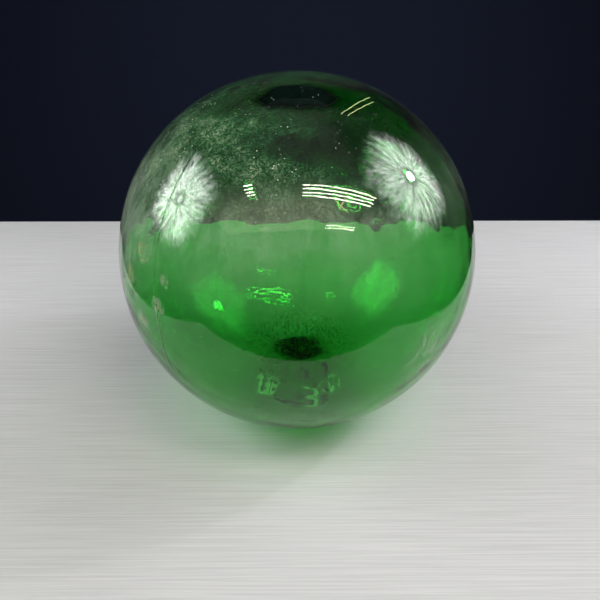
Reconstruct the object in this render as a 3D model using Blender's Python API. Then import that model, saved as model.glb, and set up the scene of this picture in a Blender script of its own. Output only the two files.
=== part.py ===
"""A sealed glass fishing float of the large size, blown free by hand.

The real ball is one thin shell of green bottle glass. Here it is one solid of the same outside
shape: a ball with a flattened crown and fuller shoulders, a button of glass that seals the blow
hole, and a small flat worn under it, on which it stands. The blow axis leans towards -Y, so the
seal looks out over the front. The origin is the middle of the worn flat, and +Z is up.
"""

import math

import bmesh
import bpy
from mathutils import Matrix, Vector

# Driving dimensions, in metres and degrees
BALL_DIAMETER = 0.302  # a true ball of this width touches the sides and the base
AXIS_LEAN = 19.0  # from upright to the blow axis, towards the front
CROWN_FLATTENING = 0.0012  # how far the blown crown sinks below the true ball
CROWN_SPREAD = 38.0  # from the blow axis to where the flattening has faded out
SHOULDER_SWELL = 0.0007  # how far the fullest part of the shoulders stands proud
SHOULDER_END = 84.0  # from the blow axis to where the shoulders have faded out
SEAL_DIAMETER = 0.040  # the button of glass pressed over the blow hole
SEAL_HEIGHT = 0.0018  # at its middle, above the crown round it
SEAL_EDGE_POWER = 3.0  # 2 is a plain dome, and more makes it flatter with a rounder rim
FOOT_DIAMETER = 0.046  # the worn flat that the ball stands on

# How finely the round shapes are faceted
STEPS_ROUND = 80
STEPS_DOWN = 44
SEAL_RINGS = 6
MERGE_DISTANCE = 1e-6

GREEN_GLASS = (0.10, 0.42, 0.17, 1.0)
GLASS_ROUGHNESS = 0.06
GLASS_IOR = 1.51


def clear_scene():
    """Removes every object that the file opened with."""
    for ob in list(bpy.data.objects):
        bpy.data.objects.remove(ob, do_unlink=True)


def glass_material():
    """Clear green bottle glass."""
    glass = bpy.data.materials.new("green_bottle_glass")
    glass.use_nodes = True
    shader = glass.node_tree.nodes["Principled BSDF"]
    shader.inputs["Base Color"].default_value = GREEN_GLASS
    shader.inputs["Metallic"].default_value = 0.0
    shader.inputs["Roughness"].default_value = GLASS_ROUGHNESS
    shader.inputs["IOR"].default_value = GLASS_IOR
    shader.inputs["Transmission Weight"].default_value = 1.0
    return glass


def fade(share):
    """1 at share 0 and 0 from share 1 on, level at both ends."""
    return math.cos(0.5 * math.pi * min(share, 1.0)) ** 2


def blown_radius(angle):
    """The ball's radius at an angle in degrees from the blow axis, without the seal.

    It is the true ball's, less a crown flattening that fades out over the crown's spread, plus
    a shoulder that rises from the crown's edge and falls away again before the widest part.
    """
    radius = BALL_DIAMETER / 2 - CROWN_FLATTENING * fade(angle / CROWN_SPREAD)
    if angle < SHOULDER_END:
        radius += SHOULDER_SWELL * math.sin(math.pi * angle / SHOULDER_END) ** 2
    return radius


def seal_angle():
    """The angle in degrees from the blow axis to the rim of the seal."""
    return math.degrees(math.asin(SEAL_DIAMETER / 2 / blown_radius(0.0)))


def seal_rise(angle):
    """How far the seal stands above the crown: a dome whose rim turns down more steeply."""
    share = min(angle / seal_angle(), 1.0)
    return SEAL_HEIGHT * (1.0 - share**SEAL_EDGE_POWER)


def profile_angles():
    """The angles of the profile's points: close together on the seal, then even to the base."""
    rim = seal_angle()
    on_seal = [rim * math.sin(0.5 * math.pi * i / SEAL_RINGS) for i in range(SEAL_RINGS)]
    below = [rim + (180.0 - rim) * i / STEPS_DOWN for i in range(STEPS_DOWN + 1)]
    return on_seal + below


def turned_ball():
    """The blown ball and its seal, turned about the upright blow axis round the ball's centre."""
    bm = bmesh.new()
    verts = []
    for angle in profile_angles():
        radius = blown_radius(angle) + seal_rise(angle)
        bearing = math.radians(angle)
        verts.append(bm.verts.new((radius * math.sin(bearing), 0.0, radius * math.cos(bearing))))
    for upper, lower in zip(verts, verts[1:]):
        bm.edges.new((upper, lower))
    bmesh.ops.spin(
        bm,
        geom=bm.verts[:] + bm.edges[:],
        cent=(0.0, 0.0, 0.0),
        axis=(0.0, 0.0, 1.0),
        angle=2.0 * math.pi,
        steps=STEPS_ROUND,
        use_merge=True,
    )
    bmesh.ops.remove_doubles(bm, verts=bm.verts[:], dist=MERGE_DISTANCE)
    return bm


def centre_height():
    """How high the ball's centre stands over its worn flat."""
    return math.sqrt((BALL_DIAMETER / 2) ** 2 - (FOOT_DIAMETER / 2) ** 2)


def wear_foot(bm):
    """Cuts the small flat under the ball, level, and closes it."""
    cut = bmesh.ops.bisect_plane(
        bm,
        geom=bm.verts[:] + bm.edges[:] + bm.faces[:],
        dist=MERGE_DISTANCE,
        plane_co=Vector((0.0, 0.0, -centre_height())),
        plane_no=Vector((0.0, 0.0, -1.0)),
        clear_outer=True,
    )
    rim = [item for item in cut["geom_cut"] if isinstance(item, bmesh.types.BMEdge)]
    bmesh.ops.edgeloop_fill(bm, edges=rim)


def build_float():
    """The float as one object, standing on the origin."""
    bm = turned_ball()
    lean = Matrix.Rotation(math.radians(AXIS_LEAN), 3, "X")
    bmesh.ops.rotate(bm, verts=bm.verts[:], cent=(0.0, 0.0, 0.0), matrix=lean)
    wear_foot(bm)
    bmesh.ops.recalc_face_normals(bm, faces=bm.faces[:])
    mesh = bpy.data.meshes.new("glass_float")
    bm.to_mesh(mesh)
    bm.free()
    mesh.shade_smooth()
    mesh.set_sharp_from_angle(angle=math.radians(30.0))
    mesh.materials.append(glass_material())
    ball = bpy.data.objects.new("glass_float", mesh)
    ball.location = (0.0, 0.0, centre_height())
    bpy.context.scene.collection.objects.link(ball)
    return ball


clear_scene()
build_float()
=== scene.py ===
import math

import bpy
import numpy as np
from mathutils import Matrix, Vector


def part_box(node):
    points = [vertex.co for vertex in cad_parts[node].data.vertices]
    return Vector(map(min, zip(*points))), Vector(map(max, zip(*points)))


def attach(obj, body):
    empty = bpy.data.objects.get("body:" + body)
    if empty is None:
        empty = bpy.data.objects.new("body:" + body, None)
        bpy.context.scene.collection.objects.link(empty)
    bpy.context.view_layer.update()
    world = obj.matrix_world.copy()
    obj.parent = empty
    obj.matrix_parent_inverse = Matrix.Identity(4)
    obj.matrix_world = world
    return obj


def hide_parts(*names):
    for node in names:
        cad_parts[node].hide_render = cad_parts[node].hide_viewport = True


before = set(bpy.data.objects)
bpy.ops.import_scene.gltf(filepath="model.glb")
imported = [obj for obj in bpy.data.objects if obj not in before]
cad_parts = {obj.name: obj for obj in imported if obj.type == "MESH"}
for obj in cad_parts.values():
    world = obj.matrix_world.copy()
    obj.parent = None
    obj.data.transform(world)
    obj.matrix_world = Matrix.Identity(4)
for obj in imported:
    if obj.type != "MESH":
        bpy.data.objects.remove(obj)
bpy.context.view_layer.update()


# The blown shell. The real float is one bubble of green bottle glass, blown by hand: a wall of
# about four millimetres all round, thicker at the base of the blow axis and under the button of
# hot glass that was pressed over the blow hole. It is fused in one piece and stands on a worn flat.
ball_low, ball_high = (np.array(corner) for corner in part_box("glass_float"))
BALL_RADIUS = float(ball_high[0] - ball_low[0]) / 2
FOOT_RADIUS = 0.023
CENTRE_HEIGHT = math.sqrt(BALL_RADIUS**2 - FOOT_RADIUS**2)
AXIS_LEAN = math.radians(19.0)
CROWN_FLATTENING = 0.0012
CROWN_SPREAD = math.radians(38.0)
SHOULDER_SWELL = 0.0007
SHOULDER_END = math.radians(84.0)
SEAL_RADIUS = 0.020
SEAL_HEIGHT = 0.0018
SEAL_EDGE_POWER = 3.0
WALL = 0.0042
BASE_THICKENING = 0.0020
SEAL_BOSS = 0.0012
BASE_BOSS = 0.0040
FOOT_RING = 0.0022
FOOT_RING_WIDTH = 0.0065
SKIN_INSET = 0.00012
SLOW_WAVE = 0.00006
QUICK_WAVE = 0.000010
FOOT_LUMP = 0.00045
SEED_COUNT = 90
ROUND = 312
DOWN = 146


def smooth_step(low, high, value):
    """0 below low, 1 above high, and 3 t squared less 2 t cubed of the share t between them."""
    t = np.clip((value - low) / (high - low), 0.0, 1.0)
    return t * t * (3.0 - 2.0 * t)


def leaning(directions):
    """Turns directions about the X axis, so that the blow axis leans towards -Y."""
    turn = np.array(Matrix.Rotation(AXIS_LEAN, 3, "X"))
    return directions @ turn.T


def outer_radius(angle):
    """The blown radius at an angle from the blow axis: the true ball's, less a crown flattening
    that fades as a squared cosine, plus a shoulder that swells as a squared sine, plus the seal,
    a dome whose height falls with the cube of the distance from its middle."""
    crown = np.cos(0.5 * np.pi * np.minimum(angle / CROWN_SPREAD, 1.0)) ** 2
    shoulder = np.sin(np.pi * np.minimum(angle / SHOULDER_END, 1.0)) ** 2
    rim = math.asin(SEAL_RADIUS / BALL_RADIUS)
    seal = 1.0 - np.minimum(angle / rim, 1.0) ** SEAL_EDGE_POWER
    return BALL_RADIUS - CROWN_FLATTENING * crown + SHOULDER_SWELL * shoulder + SEAL_HEIGHT * seal


def hand_blown_waves(direction, length, seed):
    """Smooth unevenness between about -1 and 1 over the ball: the mean of eighteen sine waves
    that cross the ball in random directions, each about one wave length long."""
    draw = np.random.RandomState(seed)
    total = np.zeros(direction.shape[:-1])
    for _ in range(18):
        way = draw.normal(size=3)
        way *= draw.uniform(0.75, 1.3) * 2.0 * np.pi * BALL_RADIUS / length / np.linalg.norm(way)
        total += np.sin(direction @ way + draw.uniform(0.0, 2.0 * np.pi))
    return total / 3.0


def blow_angle(direction):
    """The angle from the blow axis to each direction."""
    axis = leaning(np.array([0.0, 0.0, 1.0]))
    return np.arccos(np.clip(direction @ axis, -1.0, 1.0))


def lumpy_foot(direction, near, far):
    """1 on a ring round the foot between two distances from its middle, with soft edges."""
    out = BALL_RADIUS * np.hypot(direction[..., 0], direction[..., 1])
    ring = smooth_step(near - 0.003, near + 0.003, out) * (1.0 - smooth_step(far - 0.006, far + 0.004, out))
    return np.where(direction[..., 2] < 0.0, ring, 0.0)


def outer_reach(direction):
    """How far the outer surface is from the ball's centre: the blown radius, slow and quick waves
    a few hundredths of a millimetre deep, lumps round the foot half a millimetre deep, and the
    level flat that is worn under it."""
    radius = outer_radius(blow_angle(direction)) - SKIN_INSET
    radius = radius - SLOW_WAVE * hand_blown_waves(direction, 0.09, 1)
    radius = radius - QUICK_WAVE * hand_blown_waves(direction, 0.022, 2)
    lumps = 1.0 + hand_blown_waves(direction, 0.015, 6)
    radius = radius - FOOT_LUMP * lumpy_foot(direction, 0.024, 0.044) * lumps
    to_flat = CENTRE_HEIGHT / np.maximum(-direction[..., 2], 1e-6)
    return np.minimum(radius, to_flat)


def wall_thickness(direction):
    """The wall's thickness: the plain wall, a thickening towards the base of the blow axis, a
    boss under the seal and one at the base, a low ring that the foot's flattening pressed up
    inside, and the waves that blowing left."""
    angle = blow_angle(direction)
    base = smooth_step(math.radians(125.0), math.radians(176.0), angle)
    under_seal = 1.0 - smooth_step(0.0, math.radians(14.0), angle)
    under_base = 1.0 - smooth_step(0.0, math.radians(10.0), np.pi - angle)
    from_foot = BALL_RADIUS * np.hypot(direction[..., 0], direction[..., 1])
    over_foot = direction[..., 2] < 0.0
    foot_ring = np.where(over_foot, np.exp(-(((from_foot - FOOT_RADIUS) / FOOT_RING_WIDTH) ** 2)), 0.0)
    slow = 0.00012 * hand_blown_waves(direction, 0.14, 3)
    quick = 0.00006 * hand_blown_waves(direction, 0.022, 4)
    quick = quick + 0.000016 * hand_blown_waves(direction, 0.011, 5)
    quick = quick + 0.0004 * lumpy_foot(direction, 0.010, 0.042) * hand_blown_waves(direction, 0.013, 7)
    thick = BASE_THICKENING * base + SEAL_BOSS * under_seal + BASE_BOSS * under_base + FOOT_RING * foot_ring
    return WALL + thick + slow + quick


def round_grid(rows, columns):
    """Directions on a grid over the ball, rows from the seal to the base, columns around."""
    angle = np.linspace(0.0, np.pi, rows + 1)[:, None]
    bearing = np.linspace(0.0, 2.0 * np.pi, columns, endpoint=False)[None, :]
    x = np.sin(angle) * np.cos(bearing)
    y = np.sin(angle) * np.sin(bearing)
    z = np.cos(angle) * np.ones_like(bearing)
    return np.stack([x, y, z], axis=-1)


def closed_grid_faces(rows, columns, first, inward):
    """The faces of a grid that closes round and ends in a single point at each pole: a fan at
    each end and four-sided faces between. Inward turns each face over."""
    start = first + 1
    i, j = np.meshgrid(np.arange(rows - 2), np.arange(columns), indexing="ij")
    k = (j + 1) % columns
    here, below = i * columns, (i + 1) * columns
    quads = np.stack([here + j, below + j, below + k, here + k], -1).reshape(-1, 4) + start
    j = np.arange(columns)
    k = (j + 1) % columns
    last = start + (rows - 2) * columns
    top = np.stack([np.full(columns, first), start + j, start + k], -1)
    base = np.stack([last + j, np.full(columns, last + columns), last + k], -1)
    fans = np.concatenate([top, base])
    if inward:
        quads, fans = quads[:, ::-1], fans[:, ::-1]
    return quads, fans


def pole_to_pole(grid):
    """The grid's points with each pole's row as one point."""
    return np.concatenate([grid[:1, 0], grid[1:-1].reshape(-1, grid.shape[-1]), grid[-1:, 0]])


def solid_mesh(name, points, quads, triangles):
    """A mesh from whole arrays of points, four-sided faces and triangles."""
    mesh = bpy.data.meshes.new(name)
    corners = np.concatenate([quads.ravel(), triangles.ravel()]).astype(np.int32)
    sizes = np.concatenate([np.full(len(quads), 4), np.full(len(triangles), 3)])
    starts = np.concatenate([[0], np.cumsum(sizes)[:-1]]).astype(np.int32)
    mesh.vertices.add(len(points))
    mesh.vertices.foreach_set("co", points.astype(np.float32).ravel())
    mesh.loops.add(len(corners))
    mesh.loops.foreach_set("vertex_index", corners)
    mesh.polygons.add(len(sizes))
    mesh.polygons.foreach_set("loop_start", starts)
    mesh.update(calc_edges=True)
    mesh.validate()
    mesh.shade_smooth()
    return mesh


def air_bubbles(way, along, half_sizes, rows, columns):
    """Air bubbles caught in the middle of the wall, each a drawn-out ball: points at its middle
    plus its half sizes along, across and through the wall. Their faces look inwards, because the
    glass is outside them."""
    middle = way * (outer_reach(way) - 0.5 * wall_thickness(way))[:, None]
    along = along - way * np.einsum("ij,ij->i", along, way)[:, None]
    along /= np.linalg.norm(along, axis=1)[:, None]
    across = np.cross(way, along)
    axes = np.stack([along, across, way], axis=1) * half_sizes[:, :, None]
    unit = pole_to_pole(round_grid(rows, columns))
    points = middle[:, None] + np.einsum("pk,nkc->npc", unit, axes)
    quads, fans = closed_grid_faces(rows, columns, 0, inward=True)
    step = (np.arange(len(way)) * len(unit))[:, None, None]
    return points.reshape(-1, 3), (quads + step).reshape(-1, 4), (fans + step).reshape(-1, 3)


def seed_bubbles(count, seed):
    """Small bubbles at random places, most of them well under a millimetre."""
    draw = np.random.RandomState(seed)
    way = draw.normal(size=(count, 3))
    way /= np.linalg.norm(way, axis=1)[:, None]
    along = draw.normal(size=(count, 3))
    wide = 0.00022 + 0.00050 * draw.uniform(size=count) ** 3
    long = wide * draw.uniform(1.0, 2.6, size=count)
    return air_bubbles(way, along, np.stack([long, wide, 0.8 * wide], axis=1), 7, 8)


def foot_bubbles():
    """The larger bubbles folded into the thick glass of the foot: a fan at each side and a
    crescent on the right. Each has its place across the foot, its bearing and its half sizes."""
    spots = np.array([
        (-0.040, 0.018, 115.0, 0.0065, 0.0019),
        (-0.034, 0.006, 125.0, 0.0050, 0.0015),
        (-0.029, 0.021, 105.0, 0.0060, 0.0018),
        (-0.025, 0.003, 110.0, 0.0038, 0.0012),
        (-0.036, -0.005, 140.0, 0.0032, 0.0012),
        (-0.014, 0.006, 95.0, 0.0065, 0.0010),
        (0.026, 0.003, 70.0, 0.0042, 0.0013),
        (0.029, 0.021, 72.0, 0.0060, 0.0018),
        (0.036, 0.011, 60.0, 0.0065, 0.0018),
        (0.042, 0.000, 50.0, 0.0038, 0.0013),
        (0.034, -0.007, 40.0, 0.0032, 0.0012),
        (0.004, 0.019, 0.0, 0.0038, 0.0015),
        (0.012, 0.016, -30.0, 0.0045, 0.0018),
        (0.018, 0.008, -62.0, 0.0048, 0.0020),
        (0.019, -0.001, -95.0, 0.0048, 0.0018),
        (0.014, -0.009, -130.0, 0.0045, 0.0017),
        (0.006, -0.014, -160.0, 0.0040, 0.0014),
    ])
    x, y, bearing, long, wide = spots.T
    way = np.stack([x, y, np.full(len(x), -CENTRE_HEIGHT)], axis=1)
    way /= np.linalg.norm(way, axis=1)[:, None]
    turn = np.radians(bearing)
    along = np.stack([np.cos(turn), np.sin(turn), np.zeros(len(x))], axis=1)
    return air_bubbles(way, along, np.stack([long, wide, 0.85 * wide], axis=1), 12, 14)


way = pole_to_pole(leaning(round_grid(DOWN, ROUND)))
outer_points = way * outer_reach(way)[:, None]
inner_points = way * (outer_reach(way) - wall_thickness(way))[:, None]
outer_quads, outer_fans = closed_grid_faces(DOWN, ROUND, 0, inward=False)
inner_quads, inner_fans = closed_grid_faces(DOWN, ROUND, len(way), inward=True)
points = [outer_points, inner_points]
quads = [outer_quads, inner_quads]
fans = [outer_fans, inner_fans]
for more_points, more_quads, more_fans in (seed_bubbles(SEED_COUNT, 21), foot_bubbles()):
    first = sum(len(some) for some in points)
    points.append(more_points)
    quads.append(more_quads + first)
    fans.append(more_fans + first)
points = np.concatenate(points) + np.array([0.0, 0.0, CENTRE_HEIGHT])
shell_mesh = solid_mesh("blown_shell", points, np.concatenate(quads), np.concatenate(fans))


def store_share(mesh, name, outer_values):
    """Keeps a share for each point of the outer surface, and 0 on the inner one."""
    layer = mesh.attributes.new(name, "FLOAT", "POINT")
    values = np.zeros(len(mesh.vertices), np.float32)
    values[: len(outer_values)] = outer_values
    layer.data.foreach_set("value", values)


def facing(azimuth, elevation):
    """The direction at an azimuth from the front, towards +X, and an elevation, in degrees."""
    a, e = math.radians(azimuth), math.radians(elevation)
    return np.array([math.sin(a) * math.cos(e), -math.cos(a) * math.cos(e), math.sin(e)])


def soft_patch(direction, azimuth, elevation, wide, high):
    """1 at the middle of an oval patch and 0 outside it, its half width and height in degrees."""
    middle = facing(azimuth, elevation)
    across = np.cross(middle, (0.0, 0.0, 1.0))
    across /= np.linalg.norm(across)
    up = np.cross(across, middle)
    u = np.degrees(direction @ across) / wide
    v = np.degrees(direction @ up) / high
    ahead = direction @ middle > 0.0
    return np.where(ahead, 1.0 - smooth_step(0.35, 1.0, np.sqrt(u * u + v * v)), 0.0)


# The finish of the glass. A thin pale haze lies round its middle, thinner at the back, which is partly
# real haze and partly a painted pale reflection. Dust lies above and over the back, painted olive green
# there for the green light that comes through the glass, and rubbed away in places. Near-black patches
# are painted on the seal and at the base of the blow axis, with tan spots on the left, streaks low on
# the right, a few scratches near the top and glints painted inside the foot.
from_seal = blow_angle(way)
up = way[:, 2]
dust_and_glow = 0.58 * smooth_step(0.34, 0.62, up) * (0.85 + 0.15 * hand_blown_waves(way, 0.10, 11))
# The heavy film over the back, painted olive green there, stands in for the green light that comes through
# the glass.
dust_and_glow = dust_and_glow + 0.9 * smooth_step(-0.1, 0.5, way[:, 1]) * smooth_step(-0.15, 0.35, up)
DUSTY = [
    (-30, 58, 34, 24, 0.75),
    (-12, 43, 28, 14, 0.45),
    (-2, 33, 34, 5, 0.20),
    (-62, 24, 26, 34, 0.6),
]
RUBBED = [
    (-2, 51, 14, 6, 0.7),
    (48, 60, 36, 26, 0.93),
    (24, 50, 14, 12, 0.5),
    (0, 72, 34, 13, 0.95),
]
for azimuth, elevation, wide, high, share in DUSTY:
    dust_and_glow = dust_and_glow + share * soft_patch(way, azimuth, elevation, wide, high)
for azimuth, elevation, wide, high, share in RUBBED:
    dust_and_glow = dust_and_glow * (1.0 - share * soft_patch(way, azimuth, elevation, wide, high))
store_share(shell_mesh, "dust_and_glow", np.clip(dust_and_glow, 0.0, 2.6) / 2.6)
# The haze round the middle, thinner at the back, with a pale patch on the left limb: partly real haze and
# partly a painted reflection.
haze_and_reflection = smooth_step(0.06, 0.44, up) * (1.0 - 0.9 * smooth_step(0.44, 0.56, up))
haze_and_reflection = 0.115 * haze_and_reflection * (0.85 + 0.15 * hand_blown_waves(way, 0.07, 12))
haze_and_reflection = haze_and_reflection * (1.0 - 0.55 * smooth_step(-0.3, 0.3, way[:, 1]))
haze_and_reflection = haze_and_reflection * (1.0 - 0.9 * soft_patch(way, 66, 28, 44, 34)) * (1.0 - 0.5 * soft_patch(way, -52, 34, 20, 16))
haze_and_reflection = haze_and_reflection + 0.045 * soft_patch(way, -66, 24, 16, 34)
for azimuth, elevation, wide, high, share in RUBBED:
    haze_and_reflection = haze_and_reflection * (1.0 - share * soft_patch(way, azimuth, elevation, wide, high))
store_share(shell_mesh, "haze_and_reflection", haze_and_reflection)
# Where the dust is painted olive green, on the top and the back: painted light, for the green light that
# comes through the glass.
deep = np.maximum(smooth_step(0.46, 0.70, up), smooth_step(-0.1, 0.3, way[:, 1]))
deep = deep * (1.0 - 0.5 * soft_patch(way, -66, 24, 28, 40))
store_share(shell_mesh, "deep", deep)
# Near-black patches painted on the seal and at the base of the blow axis.
seal_dark_patch = soft_patch(way, 1, 71, 17, 10)
base_dark_patch = soft_patch(way, 178, -67, 17, 10)
store_share(shell_mesh, "dark_patch", np.maximum(seal_dark_patch, base_dark_patch))
scuff = smooth_step(math.radians(150.0), math.radians(166.0), from_seal)
store_share(shell_mesh, "scuff", np.maximum(scuff, 0.4 * soft_patch(way, 41, -14, 12, 18)))
TAN_SPOTS = [(-49, 17, 5, 4), (-56, 8, 4, 5), (-41, 4, 3, 3), (-50, -4, 4, 3), (-38, 12, 2, 2)]
tan = sum(soft_patch(way, *spot) for spot in TAN_SPOTS)
store_share(shell_mesh, "tan", tan)
store_share(shell_mesh, "outside", np.ones(len(way)))


class NodeBench:
    """Adds shader nodes to a material or lamp and links them, to keep each look short to read."""

    def __init__(self, owner):
        owner.use_nodes = True
        self.tree = owner.node_tree

    def feed(self, socket, value):
        """Links an output to the socket, or sets a plain value on it."""
        if isinstance(value, bpy.types.NodeSocket):
            self.tree.links.new(value, socket)
        else:
            socket.default_value = value

    def share(self, name):
        """A share that is stored on the mesh."""
        node = self.tree.nodes.new("ShaderNodeAttribute")
        node.attribute_name = name
        return node.outputs["Fac"]

    def math(self, operation, *values, clamp=False):
        """Arithmetic on one, two or three values."""
        node = self.tree.nodes.new("ShaderNodeMath")
        node.operation = operation
        node.use_clamp = clamp
        for socket, value in zip(node.inputs, values):
            self.feed(socket, value)
        return node.outputs[0]

    def times(self, *values):
        """The product of the values."""
        total = values[0]
        for value in values[1:]:
            total = self.math("MULTIPLY", total, value)
        return total

    def place(self):
        """The point in the object's own coordinates."""
        return self.tree.nodes.new("ShaderNodeTexCoord").outputs["Object"]

    def noise(self, scale, detail=2.0, rough=0.5, where=None):
        """Cloudy noise of a size, in waves to the metre, at a place."""
        node = self.tree.nodes.new("ShaderNodeTexNoise")
        node.inputs["Scale"].default_value = scale
        node.inputs["Detail"].default_value = detail
        node.inputs["Roughness"].default_value = rough
        self.feed(node.inputs["Vector"], self.place() if where is None else where)
        return node.outputs["Fac"]

    def drawn_out(self, stretch, turn=(0.0, 0.0, 0.0)):
        """The place, turned and then drawn out along the axes, for noise in streaks."""
        mapping = self.tree.nodes.new("ShaderNodeMapping")
        mapping.inputs["Scale"].default_value = stretch
        mapping.inputs["Rotation"].default_value = turn
        self.feed(mapping.inputs["Vector"], self.place())
        return mapping.outputs["Vector"]

    def parts(self, vector):
        """The X, Y and Z of a vector."""
        split = self.tree.nodes.new("ShaderNodeSeparateXYZ")
        self.feed(split.inputs[0], vector)
        return split.outputs

    def grains(self, scale, size):
        """1 on small round grains scattered at random, one to a cell, and 0 between them."""
        node = self.tree.nodes.new("ShaderNodeTexVoronoi")
        node.inputs["Scale"].default_value = scale
        self.feed(node.inputs["Vector"], self.place())
        return self.between(node.outputs["Distance"], size, size * 0.4)

    def between(self, value, low, high):
        """0 at low, 1 at high, smoothly between and held beyond."""
        node = self.tree.nodes.new("ShaderNodeMapRange")
        node.interpolation_type = "SMOOTHSTEP"
        self.feed(node.inputs["Value"], value)
        node.inputs["From Min"].default_value = low
        node.inputs["From Max"].default_value = high
        return node.outputs["Result"]

    def blend(self, share, first, second):
        """A colour that goes from the first to the second as the share rises."""
        node = self.tree.nodes.new("ShaderNodeMix")
        node.data_type = "RGBA"
        self.feed(node.inputs["Factor"], share)
        self.feed(node.inputs[6], first)
        self.feed(node.inputs[7], second)
        return node.outputs[2]

    def reach(self, direction):
        """How far the point is from the ball's middle along a direction."""
        node = self.tree.nodes.new("ShaderNodeVectorMath")
        node.operation = "DOT_PRODUCT"
        self.feed(node.inputs[0], self.place())
        node.inputs[1].default_value = tuple(direction)
        return self.math("SUBTRACT", node.outputs["Value"], CENTRE_HEIGHT * float(direction[2]))

    def scratch(self, start, end, width):
        """1 on a fine line over the ball between two directions, from how far the point is from
        the plane through both and the ball's middle, and how far along that plane it is."""
        side = np.cross(start, end)
        side /= np.linalg.norm(side)
        halfway = (start + end) / np.linalg.norm(start + end)
        along = np.cross(side, halfway)
        shake = self.math("MULTIPLY_ADD", self.noise(160.0, 2.0), 0.0016, -0.0008)
        off = self.math("ABSOLUTE", self.math("ADD", self.reach(side), shake))
        line = self.between(off, width, 0.3 * width)
        half_long = BALL_RADIUS * abs(float(end @ along))
        along_it = self.math("ABSOLUTE", self.reach(along))
        line = self.times(line, self.between(along_it, half_long, half_long - 0.002))
        return self.times(line, self.between(self.reach(halfway), 0.0, 0.02))


CLEAR = (1.0, 1.0, 1.0, 1.0)
# The pale of the haze is also that of a painted reflection.
HAZE_AND_REFLECTION_PALE = (0.70, 0.94, 0.72, 1.0)
# The olive green of the dust is painted light, for the green light that comes through the glass.
DUST_AND_GLOW_OLIVE = (0.17, 0.47, 0.22, 1.0)
DUST_THICK = (0.42, 0.56, 0.36, 1.0)
# The pale of the scuffs is also that of the glints painted inside the foot.
SCUFF_AND_GLINT_PALE = (0.92, 0.98, 0.88, 1.0)
SCRATCH_PALE = (0.75, 0.90, 0.35, 1.0)
# The near-black of the patches on the seal and at the base.
POLE_PATCH_DARK = (0.0020, 0.0060, 0.0045, 1.0)
TAN = (0.46, 0.43, 0.20, 1.0)
CORD_AZIMUTH = math.radians(-42.0)
RELIEF_DEPTH = 0.000020
GLASS_BENDING = 1.51
GLASS_GREEN = (0.08, 0.81, 0.16, 1.0)
GLASS_DENSITY = 340.0
SCRATCHES = [
    (25, 62, 61, 66, 0.00045),
    (28, 61, 58, 64, 0.00040),
    (12, 34, 16, 38, 0.00045),
    (15, 33, 11, 37, 0.00040),
]


def film_of_dust_and_light(bench):
    """How much of the surface is covered: the smooth haze, which is partly a painted reflection, and dust
    in specks and clouds, which over the back is partly painted green light.
    """
    cloud = bench.between(bench.noise(30.0, 6.0, 0.65), 0.28, 0.72)
    fibres = bench.noise(1.0, 5.0, 0.7, bench.drawn_out((90.0, 90.0, 36.0)))
    cloud = bench.times(bench.math("MULTIPLY_ADD", cloud, 0.65, 0.35), bench.between(fibres, 0.2, 0.75))
    speckle = bench.between(bench.noise(700.0, 2.0, 0.75), 0.42, 0.62)
    speckle = bench.math("MULTIPLY_ADD", speckle, 0.75, 0.25)
    specks = bench.times(speckle, cloud, bench.share("dust_and_glow"), 1.25)
    haze_and_reflection = bench.times(bench.share("haze_and_reflection"), bench.math("MULTIPLY_ADD", cloud, 1.3, 0.55))
    return bench.math("ADD", specks, haze_and_reflection)


def painted_foot_glints(bench):
    """1 on pale glints painted inside the foot, at each side and in a crescent on the right,
    broken up by noise, from how far the point is across the foot from the middle of each."""
    x, y, z = bench.parts(bench.place())
    glints = 0.0
    for across, wide in ((-0.032, 0.014), (0.032, 0.014)):
        u = bench.math("DIVIDE", bench.math("SUBTRACT", x, across), wide)
        v = bench.math("DIVIDE", bench.math("SUBTRACT", y, -0.002), 0.021)
        out = bench.math("SQRT", bench.math("ADD", bench.times(u, u), bench.times(v, v)))
        glints = bench.math("MAXIMUM", glints, bench.between(out, 1.0, 0.7))
    glint_breakup = bench.noise(1.0, 3.0, 0.65, bench.drawn_out((190.0, 60.0, 60.0)))
    glints = bench.times(glints, bench.between(glint_breakup, 0.47, 0.52))
    u = bench.math("SUBTRACT", x, 0.004)
    v = bench.math("ADD", y, 0.018)
    out = bench.math("SQRT", bench.math("ADD", bench.times(u, u), bench.times(v, v)))
    out = bench.math("MULTIPLY_ADD", bench.noise(130.0, 3.0), 0.009, out)
    crescent = bench.between(bench.math("ABSOLUTE", bench.math("SUBTRACT", out, 0.0195)), 0.0026, 0.0014)
    crescent = bench.times(crescent, bench.between(x, 0.000, 0.008))
    glints = bench.math("MAXIMUM", glints, crescent)
    inside = bench.math("SUBTRACT", 1.0, bench.share("outside"))
    return bench.times(glints, bench.between(z, 0.035, 0.025), inside, 0.95)


def blown_relief(bench):
    """Faint rings round the blow axis and one thread of harder glass down the front left."""
    along_axis = bench.drawn_out((9.0, 9.0, 210.0), (-AXIS_LEAN, 0.0, 0.0))
    rings = bench.noise(1.0, 3.0, 0.6, along_axis)
    x, y, _ = bench.parts(bench.place())
    azimuth = bench.math("ARCTAN2", x, bench.math("MULTIPLY", y, -1.0))
    bend = bench.math("MULTIPLY_ADD", bench.noise(9.0, 1.0), 0.09, -CORD_AZIMUTH - 0.045)
    aside = bench.math("ABSOLUTE", bench.math("ADD", azimuth, bend))
    outside = bench.math("MULTIPLY_ADD", bench.between(aside, 0.010, 0.0), 10.0, rings)
    outside = bench.times(outside, bench.share("outside"))
    bump = bench.tree.nodes.new("ShaderNodeBump")
    bump.inputs["Distance"].default_value = RELIEF_DEPTH
    bench.feed(bump.inputs["Height"], outside)
    return bump.outputs["Normal"]


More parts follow.
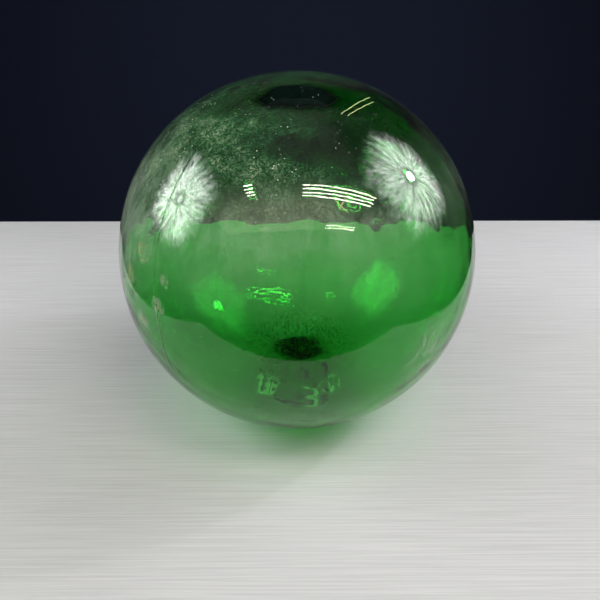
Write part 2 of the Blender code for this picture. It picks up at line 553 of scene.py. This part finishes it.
def dusty_bottle_glass():
    """Clear glass whose green comes from its thickness, under haze that is partly a painted reflection, dust
    that is painted olive green for the green light through the glass, grains, scuffs, tan spots, scratches,
    near-black patches and glints painted inside the foot."""
    mat = bpy.data.materials.new("dusty_bottle_glass")
    bench = NodeBench(mat)
    film = film_of_dust_and_light(bench)
    few = bench.between(bench.noise(45.0, 2.0), 0.44, 0.58)
    near_dust = bench.math("MULTIPLY_ADD", bench.share("dust_and_glow"), 2.0, 0.25, clamp=True)
    grain = bench.times(bench.grains(260.0, 0.17), few, near_dust, bench.share("outside"), 0.6)
    rub = bench.between(bench.noise(360.0, 3.0, 0.7), 0.54, 0.62)
    streak = bench.between(bench.noise(1.0, 4.0, 0.7, bench.drawn_out((420.0, 420.0, 60.0))), 0.5, 0.62)
    rub = bench.times(bench.math("MAXIMUM", rub, streak), bench.share("scuff"), 0.65)
    # The near-black patches first darken the clear glass and cover it only where it is dark already,
    # because a cover that came first would show as a pale ring. They start above what the noise alone
    # reaches.
    patch_level = bench.math("MULTIPLY_ADD", bench.noise(70.0, 5.0, 0.65), 0.9, bench.share("dark_patch"))
    darkened = bench.between(patch_level, 0.72, 1.20)
    dark_patch = bench.between(patch_level, 1.05, 1.45)
    tan = bench.times(bench.between(bench.noise(220.0, 3.0, 0.6), 0.40, 0.58), bench.share("tan"), 0.45)
    scratched = 0.0
    for azimuth, elevation, end_azimuth, end_elevation, width in SCRATCHES:
        ends = facing(azimuth, elevation), facing(end_azimuth, end_elevation)
        scratched = bench.math("MAXIMUM", scratched, bench.scratch(*ends, width))
    scratched = bench.times(scratched, bench.share("outside"), 0.6)
    # The pale marks are real grains and scuffs, and the glints painted inside the foot.
    pale = bench.math("MAXIMUM", bench.math("MAXIMUM", grain, rub), painted_foot_glints(bench))
    # The film goes from the pale of the haze and painted reflection to the olive green painted on the top and
    # the back for light through the glass.
    dusty = bench.blend(bench.share("deep"), HAZE_AND_REFLECTION_PALE, DUST_AND_GLOW_OLIVE)
    dusty = bench.blend(bench.between(film, 0.12, 0.45), dusty, DUST_THICK)
    colour = bench.blend(bench.math("MULTIPLY", film, 22.0, clamp=True), CLEAR, dusty)
    colour = bench.blend(darkened, colour, POLE_PATCH_DARK)
    colour = bench.blend(bench.math("MULTIPLY", tan, 2.0, clamp=True), colour, TAN)
    colour = bench.blend(bench.math("MULTIPLY", pale, 2.0, clamp=True), colour, SCUFF_AND_GLINT_PALE)
    colour = bench.blend(bench.math("MULTIPLY", scratched, 2.0, clamp=True), colour, SCRATCH_PALE)
    cover = bench.math("MAXIMUM", film, bench.times(dark_patch, 0.92))
    for layer in (pale, tan, scratched):
        cover = bench.math("MAXIMUM", cover, layer)
    shader = bench.tree.nodes["Principled BSDF"]
    bench.feed(shader.inputs["Base Color"], colour)
    bench.feed(shader.inputs["Transmission Weight"], bench.math("SUBTRACT", 1.0, cover))
    bench.feed(shader.inputs["Roughness"], bench.math("MULTIPLY", cover, 0.06))
    bench.feed(shader.inputs["Normal"], blown_relief(bench))
    shader.inputs["IOR"].default_value = GLASS_BENDING
    absorb = bench.tree.nodes.new("ShaderNodeVolumeAbsorption")
    absorb.inputs["Color"].default_value = GLASS_GREEN
    absorb.inputs["Density"].default_value = GLASS_DENSITY
    bench.tree.links.new(absorb.outputs["Volume"], bench.tree.nodes["Material Output"].inputs["Volume"])
    return mat


shell_mesh.materials.append(dusty_bottle_glass())
shell = bpy.data.objects.new("blown_shell", shell_mesh)
bpy.context.scene.collection.objects.link(shell)
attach(shell, "root")
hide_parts("glass_float")


# The pale floor that the ball stands on: smooth off-white cloth with fine slubs across it, and a green
# glow painted on it round the foot, which stands in for the light that comes through the glass.
FLOOR_CORNERS = [(-0.365, -0.31), (0.335, -0.285), (0.525, 0.471), (-0.525, 0.471)]
FLOOR_TOP = -0.0002
FLOOR_THICK = 0.03
CLOTH_SHADE = (0.365, 0.37, 0.392)
CLOTH_PALE = (0.43, 0.435, 0.46)
PAINTED_LIGHT_GREEN = (0.14, 1.0, 0.13, 1.0)
PAINTED_LIGHT_STRENGTH = 0.12


def staged(name, corners, faces, material):
    """A mesh of the set, which is not part of the object."""
    mesh = bpy.data.meshes.new(name)
    mesh.from_pydata(corners, [], faces)
    mesh.materials.append(material)
    ob = bpy.data.objects.new(name, mesh)
    bpy.context.scene.collection.objects.link(ob)


def dull_material(name, colour):
    """A dull surface of one colour."""
    mat = bpy.data.materials.new(name)
    mat.use_nodes = True
    shader = mat.node_tree.nodes["Principled BSDF"]
    shader.inputs["Base Color"].default_value = (*colour, 1.0)
    shader.inputs["Roughness"].default_value = 0.95
    shader.inputs["Specular IOR Level"].default_value = 0.0
    return mat


def pale_cloth():
    """Off-white cloth with fine threads that run across, and a painted green glow round the middle
    that stands in for the light that comes through the glass.
    """
    mat = dull_material("pale_cloth", CLOTH_SHADE)
    bench = NodeBench(mat)
    threads = bench.noise(1.0, 4.0, 0.6, bench.drawn_out((9.0, 640.0, 1.0)))
    pale = bench.blend(bench.between(threads, 0.3, 0.7), (*CLOTH_SHADE, 1.0), (*CLOTH_PALE, 1.0))
    shader = bench.tree.nodes["Principled BSDF"]
    bench.feed(shader.inputs["Base Color"], pale)
    x, y, _ = bench.parts(bench.place())
    out = bench.math("SQRT", bench.math("ADD", bench.times(x, x), bench.times(y, y)))
    # Painted light: the cloth glows green round the foot, in place of the light that comes through the glass.
    shader.inputs["Emission Color"].default_value = PAINTED_LIGHT_GREEN
    bench.feed(shader.inputs["Emission Strength"], bench.times(bench.between(out, 0.19, 0.03), PAINTED_LIGHT_STRENGTH))
    return mat


under = [(x, y, FLOOR_TOP - FLOOR_THICK) for x, y in FLOOR_CORNERS]
top = [(x, y, FLOOR_TOP) for x, y in FLOOR_CORNERS]
sides = [(0, 1, 5, 4), (1, 2, 6, 5), (2, 3, 7, 6), (3, 0, 4, 7)]
staged("pale_floor", under + top, [(3, 2, 1, 0), (4, 5, 6, 7)] + sides, pale_cloth())

# The backdrop: dark navy cloth that hangs all round the set, with a dark ground under it.
BACKDROP_REACH = 1.9
BACKDROP_LOW = -0.75
BACKDROP_HIGH = 3.0
NAVY = (0.020, 0.026, 0.052)
GROUND_DARK = (0.02, 0.02, 0.02)
corners = [(x * BACKDROP_REACH, y * BACKDROP_REACH) for x, y in ((-1, -1), (1, -1), (1, 1), (-1, 1))]
low = [(x, y, BACKDROP_LOW) for x, y in corners]
high = [(x, y, BACKDROP_HIGH) for x, y in corners]
walls = [(1, 0, 4, 5), (2, 1, 5, 6), (3, 2, 6, 7), (0, 3, 7, 4)]
staged("navy_backdrop", low + high, walls, dull_material("navy_backdrop", NAVY))
staged("dark_ground", low, [(0, 1, 2, 3)], dull_material("dark_ground", GROUND_DARK))


# The light: two soft boxes at the sides, whose cloth hangs in folds round a lamp, banks of tubes
# overhead in front, and a wide dim panel above them.
SOFT_BOX_POWER = 46.0
LEFT_PLACE = 1.15 * Vector((-0.87, -0.05, 0.475))
RIGHT_PLACE = 1.15 * Vector((0.81, 0.01, 0.565))


def area_light(name, place, aim, width, height, power, colour=(1.0, 1.0, 1.0)):
    """A rectangular lamp at a place, turned towards the aim point."""
    data = bpy.data.lights.new(name, "AREA")
    data.shape = "RECTANGLE"
    data.size = width
    data.size_y = height
    data.energy = power
    data.color = colour
    ob = bpy.data.objects.new(name, data)
    ob.location = place
    ob.rotation_euler = (Vector(aim) - Vector(place)).to_track_quat("-Z", "Y").to_euler()
    bpy.context.scene.collection.objects.link(ob)
    return ob


def lamp_middle(bench):
    """How far across and up the lamp's face the point is, from its middle, in shares of its size."""
    across, up, _ = bench.parts(bench.tree.nodes.new("ShaderNodeNewGeometry").outputs["Parametric"])
    return bench.math("SUBTRACT", across, 0.5), bench.math("SUBTRACT", up, 0.5)


def shine(bench, strength):
    """Sets the lamp's brightness over its face."""
    bench.feed(bench.tree.nodes["Emission"].inputs["Strength"], strength)


def folded_cloth(lamp, aside, core):
    """Lights a soft box through its cloth: folds that run out from the lamp behind it, which are
    noise on the bearing, an edge that the folds make uneven, and a small bright core, which sits
    aside of the middle by a share of the width."""
    bench = NodeBench(lamp.data)
    face_x, y = lamp_middle(bench)
    x = bench.math("SUBTRACT", face_x, aside)
    out = bench.math("SQRT", bench.math("ADD", bench.times(x, x), bench.times(y, y)))
    bearing = bench.tree.nodes.new("ShaderNodeCombineXYZ")
    near = bench.math("ADD", out, 0.004)
    bench.feed(bearing.inputs[0], bench.math("DIVIDE", x, near))
    bench.feed(bearing.inputs[1], bench.math("DIVIDE", y, near))
    bench.feed(bearing.inputs[2], out)
    folds = bench.noise(7.0, 5.0, 0.75, bearing.outputs[0])
    level = bench.math("MULTIPLY_ADD", bench.between(folds, 0.30, 0.72), 1.05, 0.22)
    square = bench.math("MAXIMUM", bench.math("ABSOLUTE", face_x), bench.math("ABSOLUTE", y))
    rim = bench.math("ADD", bench.times(square, 0.6), bench.times(out, 0.4))
    rim = bench.math("MULTIPLY_ADD", folds, -0.24, bench.math("ADD", rim, 0.12))
    face = bench.times(level, bench.between(rim, 0.48, 0.16))
    face = bench.times(face, bench.math("SUBTRACT", 1.0, bench.times(bench.between(out, 0.11, 0.06), 0.6)))
    bulb = bench.times(bench.between(out, 0.045, 0.030), core)
    shine(bench, bench.math("ADD", face, bulb))


middle = Vector((0.0, 0.0, CENTRE_HEIGHT))
left = area_light("soft_box_left", middle + LEFT_PLACE, middle, 0.98, 0.96, SOFT_BOX_POWER)
right = area_light("soft_box_right", middle + RIGHT_PLACE, middle, 1.10, 1.20, SOFT_BOX_POWER)
folded_cloth(left, 0.0, 0.5)
folded_cloth(right, 0.10, 16.0)

TUBE_HEIGHT = 1.35
TUBE_WIDTH = 0.022
WARM_WHITE = (1.0, 0.94, 0.74)


def tube_bank(name, x_low, x_high, y_low, y_high, tubes, power):
    """Parallel tubes overhead, their places given as shares of their height above the ball."""
    for i in range(tubes):
        y = (y_low + (y_high - y_low) * i / max(tubes - 1, 1)) * TUBE_HEIGHT
        x = 0.5 * (x_low + x_high) * TUBE_HEIGHT
        place = (x, y, CENTRE_HEIGHT + TUBE_HEIGHT)
        length = (x_high - x_low) * TUBE_HEIGHT
        area_light(f"{name}_{i}", place, (x, y, 0.0), length, TUBE_WIDTH, power, WARM_WHITE)


tube_bank("bank_right", 0.05, 1.0, -0.66, -0.49, 4, 3.8)
tube_bank("bank_left", -0.56, -0.45, -0.58, -0.43, 4, 0.5)
tube_bank("bank_far_right", 0.45, 0.98, -1.27, -1.20, 2, 2.5)
tube_bank("bank_far_left", -1.12, -0.50, -1.72, -1.62, 2, 2.5)

PANEL_HEIGHT = CENTRE_HEIGHT + TUBE_HEIGHT + 0.05
PANEL_POWER = 46.0
PANEL_PLACE = (-0.5, -1.45, PANEL_HEIGHT)
PANEL_AIM = (-0.5, -1.45, 0.0)
panel = area_light("panel", PANEL_PLACE, PANEL_AIM, 4.4, 2.1, PANEL_POWER, WARM_WHITE)
panel_bench = NodeBench(panel.data)
panel_x, panel_y = lamp_middle(panel_bench)
panel_x = panel_bench.between(panel_bench.math("ABSOLUTE", panel_x), 0.5, 0.1)
panel_y = panel_bench.between(panel_bench.math("ABSOLUTE", panel_y), 0.5, 0.1)
shine(panel_bench, panel_bench.times(panel_x, panel_y))

SKY_COOL = (0.8, 0.9, 1.0, 1.0)
SKY_STRENGTH = 0.06
world = bpy.data.worlds.new("studio")
bpy.context.scene.world = world
world.use_nodes = True
world.node_tree.nodes["Background"].inputs["Color"].default_value = SKY_COOL
world.node_tree.nodes["Background"].inputs["Strength"].default_value = SKY_STRENGTH


# The camera: where the photograph was taken from, above the pale floor's near edge, looking down.
LENS = 36.0
SENSOR = 36.0
VIEW_DISTANCE = 3.513 * BALL_RADIUS
VIEW_ELEVATION = math.radians(24.0)
PITCH_DOWN = math.radians(28.4)
YAW_RIGHT = math.atan(3.0 / 600.0)
camera_data = bpy.data.cameras.new("camera")
camera_data.lens = LENS
camera_data.sensor_width = SENSOR
camera_data.clip_start = 0.01
camera = bpy.data.objects.new("camera", camera_data)
view_line = Vector((0.0, -math.cos(VIEW_ELEVATION), math.sin(VIEW_ELEVATION)))
camera.location = middle + VIEW_DISTANCE * view_line
camera.rotation_euler = (math.radians(90.0) - PITCH_DOWN, 0.0, -YAW_RIGHT)
bpy.context.scene.collection.objects.link(camera)
bpy.context.scene.camera = camera
bpy.context.scene.view_settings.view_transform = "Standard"
